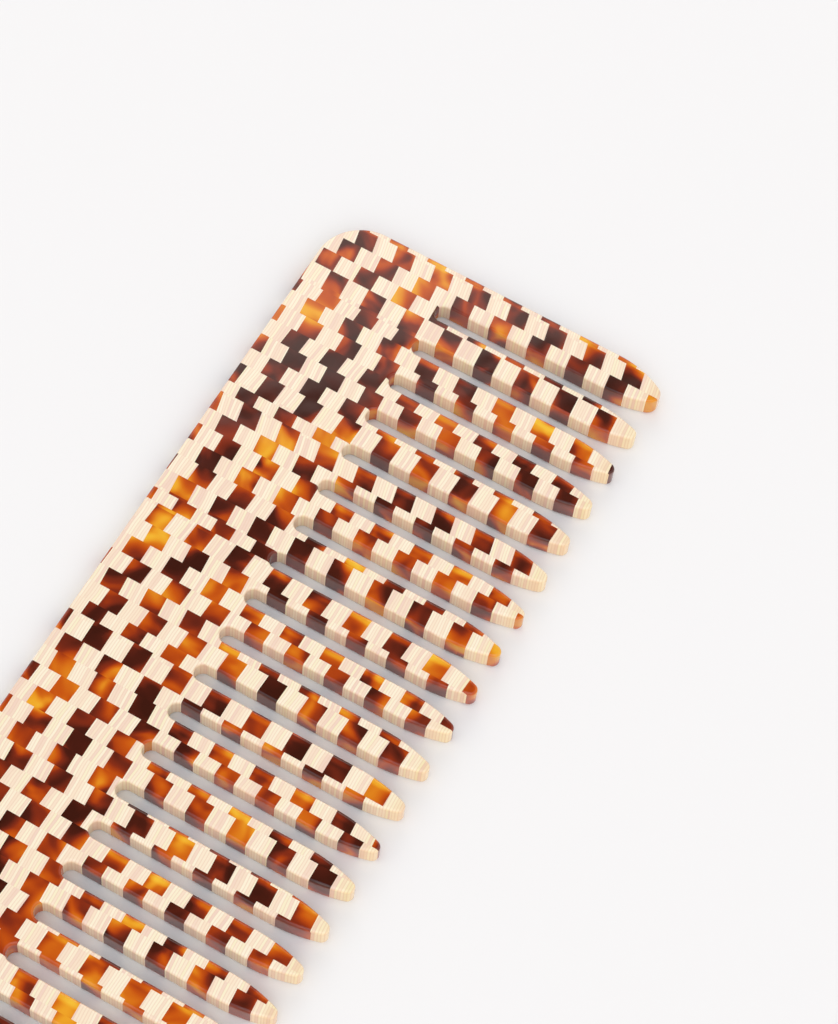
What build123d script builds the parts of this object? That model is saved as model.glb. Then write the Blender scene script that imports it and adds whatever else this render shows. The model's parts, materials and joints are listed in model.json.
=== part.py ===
"""Wide-tooth hair comb sawn from a laminated plate of cellulose acetate.

The plate is a chequer of tortoiseshell and ivory blocks: long strips that run the same way as the teeth,
each strip a stack of alternate blocks, with the strips bonded side by side so that the blocks step up and down.
The comb's outline, slots and rounded edges are cut through that plate, so every block is a solid of its own,
with whatever shape the cutting left it.

Frame: the comb lies flat. X runs along its back, +Y points from the teeth to the back, +Z is up.
The origin is the middle of the underside's bounding rectangle.
"""

import os
from dataclasses import dataclass

from build123d import *
from build123d.topology import SkipClean

# Driving dimensions of the comb, in millimetres
tooth_pitch = 6.12  # centre to centre of neighbouring teeth
slot_count = 20
slot_width = 2.3
end_tooth_width = 5.6  # the two guard teeth
comb_width = 49.5  # back edge to tooth tips
thickness = 3.1
back_depth = 17.9  # back edge to the deepest point of a slot
back_corner_radius = 6.6
edge_radius = 0.4  # rounding of every edge, above and below
taper_length = 7.4  # over which a tooth narrows to its tip
tip_radius = 0.9  # nose of a tooth
end_tip_radius = 1.5  # nose of an end tooth

# Driving dimensions of the lamination
strip_width = 2.64
outer_strip_width = 0.8  # what the outline leaves of the strip at each end
tortoise_length = 2.75  # of a block, along the strip
ivory_length = 3.02
least_width = 0.45  # a joint between strips stays this far inside a tooth's wall, or misses the tooth
scrap_volume = 10.0  # cubic mm: a smaller piece of a block is a scrap
least_volume = 1.2  # a scrap under this is never left on its own

# How far the first tortoise block of each strip starts from the back edge, from the right end inwards.
# Neighbours step up and down by about a third of a repeat, as the strips were stacked.
strip_starts = [
    1.6, 3.3, 2.1, 0.5, 3.2, 3.7, 2.7, 3.9, 3.1, 4.5,
    3.1, 4.1, 2.1, 3.9, 2.3, 3.9, 2.6, 3.3, 2.1, 3.8,
    1.8, 3.0, 1.5, 3.3, 1.5, 3.1, 1.8, 3.9, 1.6,
]  # fmt: skip

# Slant of the joints between blocks, as rise over run, in the same order. The other strips are near square.
strip_slants = [0.10, 0.22, 0.13, 0.05, 0.08, -0.03, 0.10, 0.04, -0.06, 0.09, 0.02, -0.04]

# Worked out from the above
comb_length = (slot_count - 1) * tooth_pitch + slot_width + 2 * end_tooth_width
back_edge = comb_width / 2
tip_edge = -comb_width / 2
right_end = comb_length / 2
slot_end = back_edge - back_depth
slot_centres = [(i - (slot_count - 1) / 2) * tooth_pitch for i in range(slot_count)]
repeat = tortoise_length + ivory_length


def flank_point(half_width, nose_radius):
    """Where a tooth's curved flank meets its round nose: (distance from the axis, distance from the tip)."""
    rise = taper_length - nose_radius
    flank_radius = (half_width**2 + rise**2 - nose_radius**2) / (2 * (half_width - nose_radius))
    reach = flank_radius - nose_radius
    return (
        nose_radius * (flank_radius - half_width) / reach,
        nose_radius - nose_radius * rise / reach,
    )


def tip_outline(left, right, nose_radius, nose_x):
    """The arcs round one tooth's tip, from its left wall down, round the nose and up to its right wall."""
    shoulder = tip_edge + taper_length
    for wall, side in ((left, -1), (right, 1)):
        across, up = flank_point(abs(wall - nose_x), nose_radius)
        end = (nose_x + side * across, tip_edge + up)
        TangentArc((wall, shoulder), end, tangent=(0, -1))
    left_across, left_up = flank_point(abs(left - nose_x), nose_radius)
    right_across, right_up = flank_point(abs(right - nose_x), nose_radius)
    ThreePointArc(
        (nose_x - left_across, tip_edge + left_up),
        (nose_x, tip_edge),
        (nose_x + right_across, tip_edge + right_up),
    )


def comb_outline():
    """The whole outline as seen from above: back, ends, teeth and slots."""
    shoulder = tip_edge + taper_length
    root_centre = slot_end - slot_width / 2
    corner = back_corner_radius
    Line((-right_end + corner, back_edge), (right_end - corner, back_edge))
    for side in (-1, 1):
        TangentArc(
            (side * (right_end - corner), back_edge),
            (side * right_end, back_edge - corner),
            tangent=(side, 0),
        )
        Line((side * right_end, back_edge - corner), (side * right_end, shoulder))
    for x in slot_centres:
        left, right = x - slot_width / 2, x + slot_width / 2
        Line((left, shoulder), (left, root_centre))
        ThreePointArc((left, root_centre), (x, slot_end), (right, root_centre))
        Line((right, root_centre), (right, shoulder))
    for left_slot, right_slot in zip(slot_centres, slot_centres[1:]):
        middle = (left_slot + right_slot) / 2
        tip_outline(left_slot + slot_width / 2, right_slot - slot_width / 2, tip_radius, middle)
    inner_wall = slot_centres[-1] + slot_width / 2
    nose = (inner_wall + right_end) / 2 - 0.25
    tip_outline(inner_wall, right_end, end_tip_radius, nose)
    tip_outline(-right_end, -inner_wall, end_tip_radius, -nose)


with BuildPart() as plate:
    with BuildSketch():
        with BuildLine():
            comb_outline()
        make_face()
    extrude(amount=thickness)
    flat_faces = faces().sort_by(Axis.Z)
    fillet(flat_faces[0].edges() + flat_faces[-1].edges(), radius=edge_radius)


def strip_edges():
    """X of the joints between strips, from beyond the right end to beyond the left."""
    walls = [(x + side * slot_width / 2, side) for x in slot_centres for side in (-1, 1)]
    edge = right_end - outer_strip_width
    edges = [right_end + 1]
    while edge > -right_end + least_width:
        wall, into_tooth = min(walls, key=lambda wall_and_side: abs(wall_and_side[0] - edge))
        grazes = 0 < (edge - wall) * into_tooth < least_width
        edges.append(wall - into_tooth * least_width / 2 if grazes else edge)
        edge -= strip_width
    return edges + [-right_end - 1]


def strip_joints(index, count):
    """Distances from the back edge of the joints across a strip, and their slant."""
    from_left = count - 1 - index
    if index < len(strip_starts):
        start = strip_starts[index]
    else:
        start = strip_starts[from_left] + tortoise_length / 6
    slant = strip_slants[index % len(strip_slants)] if index < count / 2 else -0.04 + 0.03 * (index % 5)
    joints = [start - repeat]
    while joints[-1] < comb_width:
        step = tortoise_length if len(joints) % 2 else ivory_length
        joints.append(joints[-1] + step)
    return joints, slant


def block_solids(stock, left, right, near, far, slant):
    """What the comb keeps of one block: the part of a strip between two joints."""
    lean = slant * (right - left) / 2
    with BuildPart() as whole_block:
        with BuildSketch():
            with BuildLine():
                Polyline(
                    (left, back_edge - near - lean),
                    (right, back_edge - near + lean),
                    (right, back_edge - far + lean),
                    (left, back_edge - far - lean),
                    close=True,
                )
            make_face()
        extrude(amount=thickness)
    kept = stock & whole_block.part
    return kept.solids() if kept else []


@dataclass(eq=False)
class Block:
    """What the comb keeps of one block of acetate."""

    strip: int
    material: str
    solid: Solid

    def __post_init__(self):
        along = [vertex.Y for vertex in self.solid.vertices()]
        self.low, self.high = min(along), max(along)

    def length_beside(self, other):
        """How far this block and one of another strip lie along each other."""
        return min(self.high, other.high) - max(self.low, other.low)


def strip_blocks(index, left, right, count):
    """Every block of one strip."""
    with BuildPart() as strip:
        with Locations(((left + right) / 2, 0, thickness / 2)):
            Box(right - left, comb_width + 2, thickness + 2)
        add(plate.part, mode=Mode.INTERSECT)
    joints, slant = strip_joints(index, count)
    blocks = []
    for row, (near, far) in enumerate(zip(joints, joints[1:])):
        material = "ivory" if row % 2 else "tortoise"
        for solid in block_solids(strip.part, left, right, near, far, slant):
            blocks.append(Block(index, material, solid))
    return blocks


def fused_into(hosts, scrap):
    """Makes a scrap part of the first host that it shares a face with, and says whether there was one."""
    for host in hosts:
        with SkipClean():
            fused = (host.solid + scrap.solid).solids()
        if len(fused) == 1:
            host.solid = fused[0]
            return True
    return False


def without_scraps(blocks):
    """The blocks, with each scrap made part of a block of the same acetate across the joint between two strips.

    The smallest scraps, where there is no such block, become part of the next block of their own strip. Where the
    teeth narrow to their tips, only those smallest ones are fused.
    """
    shoulder = tip_edge + taper_length
    kept = list(blocks)
    for scrap in sorted(blocks, key=lambda block: block.solid.volume):
        if scrap.solid.volume >= scrap_volume:
            continue
        alike = [b for b in kept if abs(b.strip - scrap.strip) == 1 and b.material == scrap.material]
        alike = [b for b in alike if b.length_beside(scrap) > least_width and min(b.low, scrap.low) > shoulder]
        alike.sort(key=lambda block: -block.length_beside(scrap))
        if fused_into(alike, scrap):
            kept.remove(scrap)
        elif scrap.solid.volume < least_volume:
            others = [b for b in kept if b.strip == scrap.strip and b is not scrap]
            others.sort(key=lambda block: -block.length_beside(scrap))
            if fused_into(others[:3], scrap):
                kept.remove(scrap)
    return kept


def home_of(solid):
    """The piece of the comb that a block belongs to: the back, or the tooth that it stands in."""
    centre = solid.center(CenterOf.MASS)
    if centre.Y > slot_end:
        sixth = comb_length / 6
        return "back_left" if centre.X < -sixth else "back_right" if centre.X > sixth else "back_middle"
    number = sum(1 for x in slot_centres if x < centre.X)
    if number == 0:
        return "end_tooth_left"
    if number == slot_count:
        return "end_tooth_right"
    return f"tooth_{number:02d}"


blocks = []
edges = strip_edges()
for index, (right, left) in enumerate(zip(edges, edges[1:])):
    blocks += strip_blocks(index, left, right, len(edges) - 1)
nodes = {}
for block in without_scraps(blocks):
    nodes.setdefault(f"{home_of(block.solid)}_{block.material}", []).append(block.solid)

os.makedirs("parts", exist_ok=True)
for name, solids in sorted(nodes.items()):
    group = Compound(label=name, children=solids)
    export_step(group, f"parts/{name}.step")
    print(name, len(solids), "smallest", round(min(s.volume for s in solids), 3))
print("blocks", len(blocks), "before scraps are fused,", sum(len(s) for s in nodes.values()), "after")
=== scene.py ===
"""Looks of a wide-tooth comb sawn from a laminated plate of tortoiseshell and ivory acetate.

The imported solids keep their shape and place. Each block is first told where it came from in the plate, as mesh
attributes, and the two acetates read those, so that marbling and pinstripes follow the blocks.
Lengths in the materials are millimetres, like the plate; everything else is in metres.
"""

import json
import math

import bpy
import numpy as np
from mathutils import Matrix, Vector

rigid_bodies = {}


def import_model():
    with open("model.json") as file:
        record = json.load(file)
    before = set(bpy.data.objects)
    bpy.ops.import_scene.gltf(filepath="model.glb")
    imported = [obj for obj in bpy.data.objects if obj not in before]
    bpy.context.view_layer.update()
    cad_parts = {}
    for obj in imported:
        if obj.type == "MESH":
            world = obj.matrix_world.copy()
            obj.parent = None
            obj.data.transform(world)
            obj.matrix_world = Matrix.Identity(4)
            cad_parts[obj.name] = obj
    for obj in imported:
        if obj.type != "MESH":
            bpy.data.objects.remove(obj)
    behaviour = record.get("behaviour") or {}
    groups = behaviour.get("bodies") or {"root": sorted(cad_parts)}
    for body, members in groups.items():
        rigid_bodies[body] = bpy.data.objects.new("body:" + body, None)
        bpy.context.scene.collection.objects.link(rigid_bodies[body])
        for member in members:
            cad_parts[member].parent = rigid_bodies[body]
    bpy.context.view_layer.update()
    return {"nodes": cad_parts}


# How the plate was laminated, in millimetres, as in the part's own source
comb_length = 129.78
comb_width = 49.5
slot_count = 20
strip_width = 2.64
outer_strip_width = 0.8
tortoise_length = 2.75
ivory_length = 3.02
mean_start = 2.7  # of a strip's first tortoise block, from the back edge
tooth_pitch = 6.12
slot_width = 2.3
back_depth = 17.9

# Room light: colour near the horizon, half way up and overhead
room_low = (0.85, 0.72, 0.62, 1)
room_middle = (1.08, 0.95, 0.86, 1)
room_high = (0.90, 1.18, 1.38, 1)
room_strength = 0.98

# Dark flag: degrees from its middle, where it starts to darken the room and where it is full
flag_edge = 31
flag_full = 16

# Stray light painted into the acetate's colour: millimetres from a lit wall, or from the tips
band_outer = (0.15, 0.5)
band_inner = (1.35, 0.7)
tip_reach = (3.2, 0.4)
painted_band_glow = 0.09  # how much lighter the painted glow makes the marbling
painted_tip_glow = 0.05

# The two acetates
acetate_ior = 1.48
polish_amount = 0.08
tortoise_roughness = 0.09
ivory_roughness = 0.16
leaf_width = 0.37  # millimetres, of the thin leaves in the ivory acetate
leaf_drift = 0.3  # millimetres, by which the leaves wander
painted_wall_reflection = 0.36  # share of the painted reflection colour on the tortoiseshell's walls, where it is dark: a painted reflection of the bright room

# Camera: metres and degrees
camera_aim = (0.03049, -0.00617, 0.0032)
camera_distance = 0.4178
camera_turn = -67.5  # round the comb from straight in front of the teeth
camera_height = 61.6
camera_lean = 7.8
camera_lens = 115.0


# ------------------------------------------------------------------ small helpers for shader trees


def colour(red, green, blue):
    """A colour given as it looks on screen, 0 to 255, as the linear value that nodes work in."""
    linear = [c / 255 / 12.92 if c <= 10 else ((c / 255 + 0.055) / 1.055) ** 2.4 for c in (red, green, blue)]
    return (*linear, 1.0)


def add_node(tree, kind, inputs=(), **settings):
    """A node with its settings made. Inputs maps a socket's name or number to a value or another socket."""
    node = tree.nodes.new("ShaderNode" + kind)
    for name, value in settings.items():
        setattr(node, name, value)
    for key, value in dict(inputs).items():
        if isinstance(value, bpy.types.NodeSocket):
            tree.links.new(value, node.inputs[key])
        else:
            node.inputs[key].default_value = value
    return node


def maths(tree, operation, first, second=0.0, third=0.0):
    return add_node(tree, "Math", {0: first, 1: second, 2: third}, operation=operation).outputs[0]


def attribute(tree, name):
    return add_node(tree, "Attribute", attribute_name=name).outputs["Fac"]


def blend_colours(tree, share, first, second, mode="MIX"):
    """Mixes two colours, from first at share 0 to second at share 1."""
    mix = add_node(tree, "Mix", {0: share, 6: first, 7: second}, data_type="RGBA", blend_type=mode)
    return mix.outputs[2]


def remap(tree, value, low, high, smooth=True):
    """0 below low, 1 above high; low may be the greater one."""
    kind = "SMOOTHSTEP" if smooth else "LINEAR"
    node = add_node(tree, "MapRange", {0: value, 1: low, 2: high}, interpolation_type=kind)
    return node.outputs[0]


def ramp(tree, value, stops, interpolation="LINEAR"):
    """A colour ramp through (place, colour) stops."""
    node = add_node(tree, "ValToRGB", {0: value})
    node.color_ramp.interpolation = interpolation
    points = node.color_ramp.elements
    while len(points) < len(stops):
        points.new(0.5)
    for point, (place, tint) in zip(points, stops):
        point.position = place
        point.color = tint
    return node.outputs[0]


def new_group(name, inputs, outputs):
    """An empty shader group with named sockets, given as (name, kind) or (name, kind, value)."""
    group = bpy.data.node_groups.new(name, "ShaderNodeTree")
    for socket_name, kind, *value in inputs:
        socket = group.interface.new_socket(socket_name, in_out="INPUT", socket_type="NodeSocket" + kind)
        if value:
            socket.default_value = value[0]
    for socket_name, kind in outputs:
        group.interface.new_socket(socket_name, in_out="OUTPUT", socket_type="NodeSocket" + kind)
    given = group.nodes.new("NodeGroupInput")
    result = group.nodes.new("NodeGroupOutput")
    return group, given.outputs, result.inputs


def place_group(tree, group, inputs=()):
    """A shader group placed in a tree, with values of its own."""
    node = add_node(tree, "Group", node_tree=group)
    for key, value in dict(inputs).items():
        if isinstance(value, bpy.types.NodeSocket):
            tree.links.new(value, node.inputs[key])
        else:
            node.inputs[key].default_value = value
    return node.outputs


# ------------------------------------------------------------------ where each block came from


def block_numbers(mesh):
    """The number of the block that each vertex belongs to: blocks are the separate shells of a mesh."""
    places = np.empty(len(mesh.vertices) * 3)
    mesh.vertices.foreach_get("co", places)
    rounded = np.round(places.reshape(-1, 3) * 1e7).astype(np.int64)
    welded = np.unique(rounded, axis=0, return_inverse=True)[1].ravel()
    corners = np.empty(len(mesh.polygons) * 3, dtype=np.int64)
    mesh.polygons.foreach_get("vertices", corners)
    triangles = welded[corners].reshape(-1, 3)
    number = np.arange(welded.max() + 1)
    while True:
        lowest = number[triangles].min(axis=1)
        new = number.copy()
        for corner in range(3):
            np.minimum.at(new, triangles[:, corner], lowest)
        new = new[new]
        if np.array_equal(new, number):
            break
        number = new
    return np.unique(number[welded], return_inverse=True)[1].ravel()


def describe_blocks(node):
    """Stores on each vertex the slant and place of its block's joints, and a number drawn for the block."""
    mesh = node.data
    block = block_numbers(mesh)
    corners = np.empty(len(mesh.polygons) * 3, dtype=np.int64)
    mesh.polygons.foreach_get("vertices", corners)
    triangles = corners.reshape(-1, 3)
    places = np.empty(len(mesh.vertices) * 3)
    mesh.vertices.foreach_get("co", places)
    places = places.reshape(-1, 3) * 1000
    a, b, c = (places[triangles[:, i]] for i in range(3))
    areas = np.cross(b - a, c - a)
    size = np.linalg.norm(areas, axis=1) + 1e-12
    normals = areas / size[:, None]
    is_joint = (np.abs(normals[:, 2]) < 0.02) & (np.abs(normals[:, 1]) > 0.9)
    middles = (a + b + c) / 3
    block_of_triangle = block[triangles[:, 0]]
    slants = np.zeros(block.max() + 1)
    starts = np.zeros(block.max() + 1)
    draws = np.zeros(block.max() + 1)
    length = ivory_length if "ivory" in node.name else tortoise_length
    for number in range(block.max() + 1):
        mine = (block_of_triangle == number) & is_joint
        own = places[block == number]
        if mine.any():
            weights = size[mine]
            slants[number] = np.average(-normals[mine, 0] / normals[mine, 1], weights=weights)
        level = middles[:, 1] - slants[number] * middles[:, 0]
        near = mine & (normals[:, 1] > 0) & (middles[:, 1] < comb_width / 2 - 0.1)
        far = mine & (normals[:, 1] < 0)
        if near.any():
            starts[number] = np.average(level[near], weights=size[near])
        elif far.any():
            starts[number] = np.average(level[far], weights=size[far]) + length
        else:
            starts[number] = own[:, 1].max()
        middle = (own.min(axis=0) + own.max(axis=0)) / 2
        draws[number] = math.modf(abs(math.sin(middle[0] * 12.99 + middle[1] * 78.23)) * 4375.85)[0]
    for name, values in (("joint_slant", slants), ("joint_start", starts), ("block_draw", draws)):
        layer = mesh.attributes.new(name, "FLOAT", "POINT")
        layer.data.foreach_set("value", values[block].astype(np.float32))


# ------------------------------------------------------------------ effects that both acetates share


def make_place_in_plate():
    """Where a point is in the sheet that its block was cut from.

    Across is X, Along counts from the block's first joint, Row is the sheet's number from the back edge, Strip
    draws a number for each strip, and Depth is Z.
    """
    outputs = [(name, "Float") for name in ("Across", "Along", "Row", "Strip", "Depth")]
    group, _, result = new_group("place in plate", [], outputs)
    place = add_node(group, "TexCoord").outputs["Object"]
    millimetres = add_node(group, "VectorMath", {0: place, 3: 1000.0}, operation="SCALE").outputs[0]
    split = add_node(group, "SeparateXYZ", {0: millimetres}).outputs
    slant, start = attribute(group, "joint_slant"), attribute(group, "joint_start")
    leaning = maths(group, "MULTIPLY", slant, split[0])
    level = maths(group, "SUBTRACT", split[1], leaning)
    along = maths(group, "SUBTRACT", start, level)
    first = comb_length / 2 - outer_strip_width
    from_first = maths(group, "SUBTRACT", first, split[0])
    strip = maths(group, "FLOOR", maths(group, "DIVIDE", from_first, strip_width))
    strip_draw = add_node(group, "TexWhiteNoise", {"W": strip}, noise_dimensions="1D").outputs["Value"]
    back = comb_width / 2 - mean_start
    start_level = maths(group, "ADD", start, leaning)
    repeat = tortoise_length + ivory_length
    row = maths(group, "ROUND", maths(group, "DIVIDE", maths(group, "SUBTRACT", back, start_level), repeat))
    values = (split[0], along, row, strip_draw, split[2])
    for (name, _), value in zip(outputs, values):
        group.links.new(value, result[name])
    return group


def make_hand_polish():
    """The faint unevenness that a polishing wheel leaves, as a normal."""
    group, given, result = new_group("hand polish", [("Amount", "Float", 0.1)], [("Normal", "Vector")])
    place = add_node(group, "TexCoord").outputs["Object"]
    waves = add_node(group, "TexNoise", {"Vector": place, "Scale": 220.0, "Detail": 1.0}).outputs[0]
    bump = add_node(group, "Bump", {"Strength": given["Amount"], "Distance": 0.0004, "Height": waves})
    group.links.new(bump.outputs[0], result["Normal"])
    return group


def make_painted_wall_light_mask():
    """1 on the walls that the saw cut, 0 on the flat faces, with a soft change over the rounded edge. The
    acetates paint wall light and shade through it.
    """
    group, _, result = new_group("painted wall light mask", [], [("Wall", "Float")])
    normal = add_node(group, "NewGeometry").outputs["Normal"]
    up = add_node(group, "SeparateXYZ", {0: normal}).outputs[2]
    wall = remap(group, maths(group, "ABSOLUTE", up), 0.75, 0.25)
    group.links.new(wall, result["Wall"])
    return group


def make_painted_light_inside():
    """How much stray light is painted into the acetate's colour at a point.

    Lit is 1 in a band just inside the walls that face the key light, and 0 elsewhere. Tip is 1 at the very
    tips of the teeth.
    """
    group, _, result = new_group("painted light inside", [], [("Lit", "Float"), ("Tip", "Float")])
    place = add_node(group, "TexCoord").outputs["Object"]
    millimetres = add_node(group, "VectorMath", {0: place, 3: 1000.0}, operation="SCALE").outputs[0]
    split = add_node(group, "SeparateXYZ", {0: millimetres}).outputs
    first_wall = tooth_pitch / 2 - slot_width / 2
    to_slot = maths(group, "FLOORED_MODULO", maths(group, "SUBTRACT", first_wall, split[0]), tooth_pitch)
    in_tooth = remap(group, split[1], comb_width / 2 - back_depth, comb_width / 2 - back_depth - 2.0)
    band = maths(group, "MULTIPLY", remap(group, to_slot, *band_inner), remap(group, to_slot, *band_outer))
    at_slot = maths(group, "MULTIPLY", band, in_tooth)
    to_end = maths(group, "SUBTRACT", comb_length / 2, split[0])
    at_end = maths(group, "MULTIPLY", remap(group, to_end, *band_inner), remap(group, to_end, *band_outer))
    last_wall = first_wall + (slot_count - 1) / 2 * tooth_pitch
    inside_end = maths(group, "GREATER_THAN", to_end, comb_length / 2 - last_wall + 0.1)
    lit = maths(group, "MAXIMUM", maths(group, "MULTIPLY", at_slot, inside_end), at_end)
    group.links.new(lit, result["Lit"])
    tip = remap(group, split[1], *(reach - comb_width / 2 for reach in tip_reach))
    group.links.new(tip, result["Tip"])
    return group


# ------------------------------------------------------------------ the two acetates

# Painted reflection of the bright room on the tortoiseshell's dark walls
painted_wall_reflection_colour = colour(160, 120, 116)
painted_wall_warmth = colour(255, 250, 242)  # painted warm shade of the ivory's walls, against its top


def finish_acetate(material, base, normal, roughness):
    """Connects a colour and a normal to the polished acetate's own shader."""
    shader = material.node_tree.nodes["Principled BSDF"]
    shader.inputs["Roughness"].default_value = roughness
    shader.inputs["IOR"].default_value = acetate_ior
    material.node_tree.links.new(base, shader.inputs["Base Color"])
    material.node_tree.links.new(normal, shader.inputs["Normal"])


def make_tortoise(place_in_plate, hand_polish, painted_wall_light_mask, painted_light_inside):
    """Translucent acetate marbled from near black through red-brown and orange to amber. Its translucency is
    painted into the colour: a painted glow near the lit walls and at the tips, and a painted reflection on the
    dark walls.
    """
    material = bpy.data.materials.new("tortoiseshell acetate")
    material.use_nodes = True
    tree = material.node_tree
    place = place_group(tree, place_in_plate)
    jump = maths(tree, "MULTIPLY", place["Strip"], 1.3)
    across = maths(tree, "ADD", place["Across"], jump)
    sheet = maths(tree, "MULTIPLY", place["Row"], 31.7)
    along = maths(tree, "ADD", place["Along"], sheet)
    point = add_node(tree, "CombineXYZ", {0: across, 1: along, 2: place["Depth"]}).outputs[0]
    clouds = add_node(
        tree,
        "TexNoise",
        {"Vector": point, "Scale": 0.17, "Detail": 1.6, "Roughness": 0.45, "Distortion": 0.6},
    ).outputs[0]
    clouds = maths(tree, "MULTIPLY_ADD", clouds, 1.1, -0.05)
    light = place_group(tree, painted_light_inside)
    wall = place_group(tree, painted_wall_light_mask)["Wall"]
    # Painted glow: the marbling is made lighter near the lit walls and at the tips.
    glow = maths(tree, "MULTIPLY_ADD", light["Lit"], painted_band_glow, maths(tree, "MULTIPLY", light["Tip"], painted_tip_glow))
    clouds = maths(tree, "ADD", clouds, glow)
    light_part = remap(tree, clouds, 0.48, 0.62)
    # Painted glow on the walls: there the amber parts of the marbling are made a little lighter.
    clouds = maths(tree, "MULTIPLY_ADD", maths(tree, "MULTIPLY", wall, light_part), 0.06, clouds)
    stops = [
        (0.30, colour(62, 24, 14)),
        (0.40, colour(76, 28, 17)),
        (0.45, colour(106, 38, 22)),
        (0.50, colour(134, 46, 22)),
        (0.54, colour(168, 62, 18)),
        (0.60, colour(196, 84, 18)),
        (0.66, colour(214, 114, 24)),
        (0.74, colour(234, 158, 38)),
        (0.84, colour(242, 190, 58)),
    ]
    marbling = ramp(tree, clouds, stops)
    # Painted reflection on the walls: dark marbling is mixed towards pale grey-pink, less where it is amber
    painted_reflection_share = maths(tree, "MULTIPLY_ADD", light_part, -0.4 * painted_wall_reflection, painted_wall_reflection)
    shaded = blend_colours(tree, maths(tree, "MULTIPLY", wall, painted_reflection_share), marbling, painted_wall_reflection_colour)
    normal = place_group(tree, hand_polish, {"Amount": polish_amount})["Normal"]
    finish_acetate(material, shaded, normal, tortoise_roughness)
    return material


def make_ivory(place_in_plate, hand_polish, painted_wall_light_mask, painted_light_inside):
    """Cream acetate pressed from thin leaves, which show as pinstripes along the comb's back. Its walls get a
    painted warm shade and its tips a painted tint.
    """
    material = bpy.data.materials.new("ivory acetate")
    material.use_nodes = True
    tree = material.node_tree
    place = place_group(tree, place_in_plate)
    drift = add_node(tree, "CombineXYZ", {0: place["Across"], 1: place["Along"], 2: place["Row"]}).outputs[0]
    drift = add_node(tree, "TexNoise", {"Vector": drift, "Scale": 0.35, "Detail": 0.0}).outputs[0]
    along = maths(tree, "MULTIPLY_ADD", drift, leaf_drift, place["Along"])
    leaf = maths(tree, "DIVIDE", along, leaf_width)
    leaf_number = maths(tree, "FLOOR", leaf)
    seed = maths(tree, "ADD", leaf_number, maths(tree, "MULTIPLY", place["Row"], 17.0))
    seed = maths(tree, "MULTIPLY_ADD", place["Strip"], 7.0, seed)
    tint = add_node(tree, "TexWhiteNoise", {"W": seed}, noise_dimensions="1D").outputs["Value"]
    leaf_colour = ramp(
        tree,
        tint,
        [
            (0.0, colour(240, 211, 194)),
            (0.35, colour(247, 227, 202)),
            (0.7, colour(250, 238, 215)),
            (1.0, colour(246, 234, 201)),
        ],
    )
    inside = maths(tree, "FRACT", leaf)
    line = maths(tree, "ABSOLUTE", maths(tree, "SUBTRACT", inside, 0.5))
    line = remap(tree, line, 0.2, 0.5)
    striped = blend_colours(tree, maths(tree, "MULTIPLY", line, 0.5), leaf_colour, colour(232, 198, 170))
    wall = place_group(tree, painted_wall_light_mask)["Wall"]
    # Painted warm shade on the ivory's walls
    shaded = blend_colours(tree, maths(tree, "MULTIPLY", wall, 0.9), striped, painted_wall_warmth, "MULTIPLY")
    tip = place_group(tree, painted_light_inside)["Tip"]
    # Painted light: at the tips, where stray light is painted, the ivory is tinted yellower.
    shaded = blend_colours(tree, maths(tree, "MULTIPLY", tip, 0.5), shaded, colour(246, 236, 202), "MULTIPLY")
    normal = place_group(tree, hand_polish, {"Amount": polish_amount})["Normal"]
    finish_acetate(material, shaded, normal, ivory_roughness)
    return material


# ------------------------------------------------------------------ studio


def make_floor():
    mesh = bpy.data.meshes.new("floor")
    half, below = 1.5, -0.00005
    corners = [(x * half, y * half, below) for x, y in ((-1, -1), (1, -1), (1, 1), (-1, 1))]
    mesh.from_pydata(corners, [], [(0, 1, 2, 3)])
    floor = bpy.data.objects.new("floor", mesh)
    bpy.context.scene.collection.objects.link(floor)
    paper = bpy.data.materials.new("white paper")
    paper.use_nodes = True
    shader = paper.node_tree.nodes["Principled BSDF"]
    shader.inputs["Base Color"].default_value = colour(241, 240, 241)
    shader.inputs["Roughness"].default_value = 0.9
    shader.inputs["Specular IOR Level"].default_value = 0.1
    mesh.materials.append(paper)


def make_softbox(name, direction, height, spread, strength, tint):
    """Light from a large, distant softbox: direction in degrees from +X towards +Y, height above the floor."""
    light = bpy.data.lights.new(name, "SUN")
    light.angle = math.radians(spread)
    light.energy = strength
    light.color = tint
    box = bpy.data.objects.new(name, light)
    turn, rise = math.radians(direction), math.radians(height)
    away = Vector((math.cos(rise) * math.cos(turn), math.cos(rise) * math.sin(turn), math.sin(rise)))
    box.location = away * 0.5
    box.rotation_euler = away.to_track_quat("Z", "Y").to_euler()
    bpy.context.scene.collection.objects.link(box)


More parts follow.
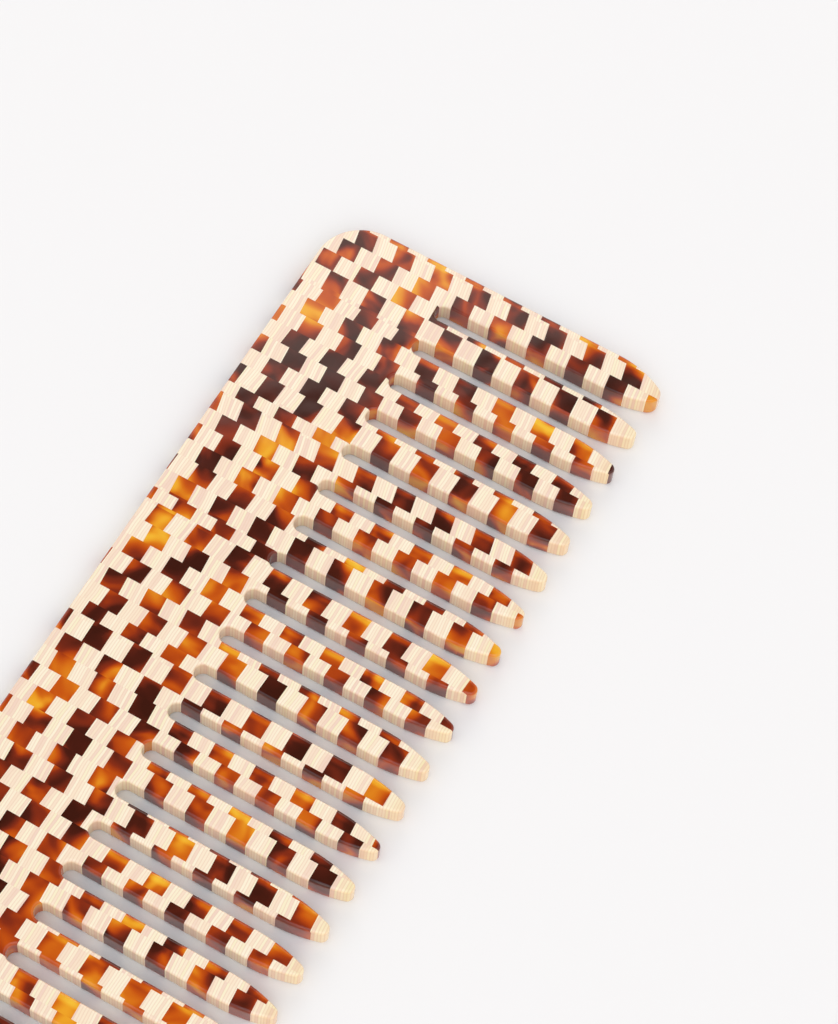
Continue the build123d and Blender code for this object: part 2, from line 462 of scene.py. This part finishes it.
def make_room_light():
    """Even light from all round, as in a white tent, with a dark flag where the comb's top would mirror it."""
    world = bpy.data.worlds.new("white tent")
    bpy.context.scene.world = world
    world.use_nodes = True
    tree = world.node_tree
    direction = add_node(tree, "TexCoord").outputs["Generated"]
    height = add_node(tree, "SeparateXYZ", {0: direction}).outputs[2]
    shade = ramp(tree, height, [(0.0, room_low), (0.55, room_middle), (1.0, room_high)])
    turn, rise = math.radians(camera_turn), math.radians(camera_height)
    mirrored = (-math.sin(turn) * math.cos(rise), math.cos(turn) * math.cos(rise), math.sin(rise))
    compared = add_node(tree, "VectorMath", {0: direction, 1: mirrored}, operation="DOT_PRODUCT")
    nearness = compared.outputs["Value"]
    flag = remap(tree, nearness, math.cos(math.radians(flag_edge)), math.cos(math.radians(flag_full)))
    shade = blend_colours(tree, flag, shade, (0.03, 0.03, 0.03, 1))
    background = tree.nodes["Background"]
    tree.links.new(shade, background.inputs["Color"])
    background.inputs["Strength"].default_value = room_strength


def make_camera():
    camera = bpy.data.cameras.new("camera")
    camera.sensor_fit = "VERTICAL"
    camera.sensor_height = 36.0
    camera.sensor_width = 36.0
    camera.lens = camera_lens
    camera.clip_start, camera.clip_end = 0.01, 10.0
    stand = bpy.data.objects.new("camera", camera)
    turn, rise = math.radians(camera_turn), math.radians(camera_height)
    back = Vector((math.sin(turn) * math.cos(rise), -math.cos(turn) * math.cos(rise), math.sin(rise)))
    facing = back.to_track_quat("Z", "Y").to_matrix()
    lean = Matrix.Rotation(math.radians(camera_lean), 3, "Z")
    place = Matrix.Translation(Vector(camera_aim) + back * camera_distance)
    stand.matrix_world = place @ (facing @ lean).to_4x4()
    bpy.context.scene.collection.objects.link(stand)
    bpy.context.scene.camera = stand


def make_studio():
    make_floor()
    make_room_light()
    make_softbox("key softbox", direction=31, height=40, spread=40, strength=0.55, tint=(1.0, 0.955, 0.91))
    make_softbox("fill softbox", direction=215, height=45, spread=50, strength=0.6, tint=(1.0, 0.95, 0.89))
    make_camera()
    bpy.context.scene.view_settings.view_transform = "Standard"


# ------------------------------------------------------------------ the comb

for leftover in list(bpy.data.objects):
    bpy.data.objects.remove(leftover)
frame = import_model()

place_in_plate = make_place_in_plate()
hand_polish = make_hand_polish()
painted_wall_light_mask = make_painted_wall_light_mask()
painted_light_inside = make_painted_light_inside()
acetates = {
    "tortoise": make_tortoise(place_in_plate, hand_polish, painted_wall_light_mask, painted_light_inside),
    "ivory": make_ivory(place_in_plate, hand_polish, painted_wall_light_mask, painted_light_inside),
}
for name, node in frame["nodes"].items():
    kind = name.rsplit("_", 1)[1]
    describe_blocks(node)
    node.material_slots[0].material = acetates[kind]

make_studio()
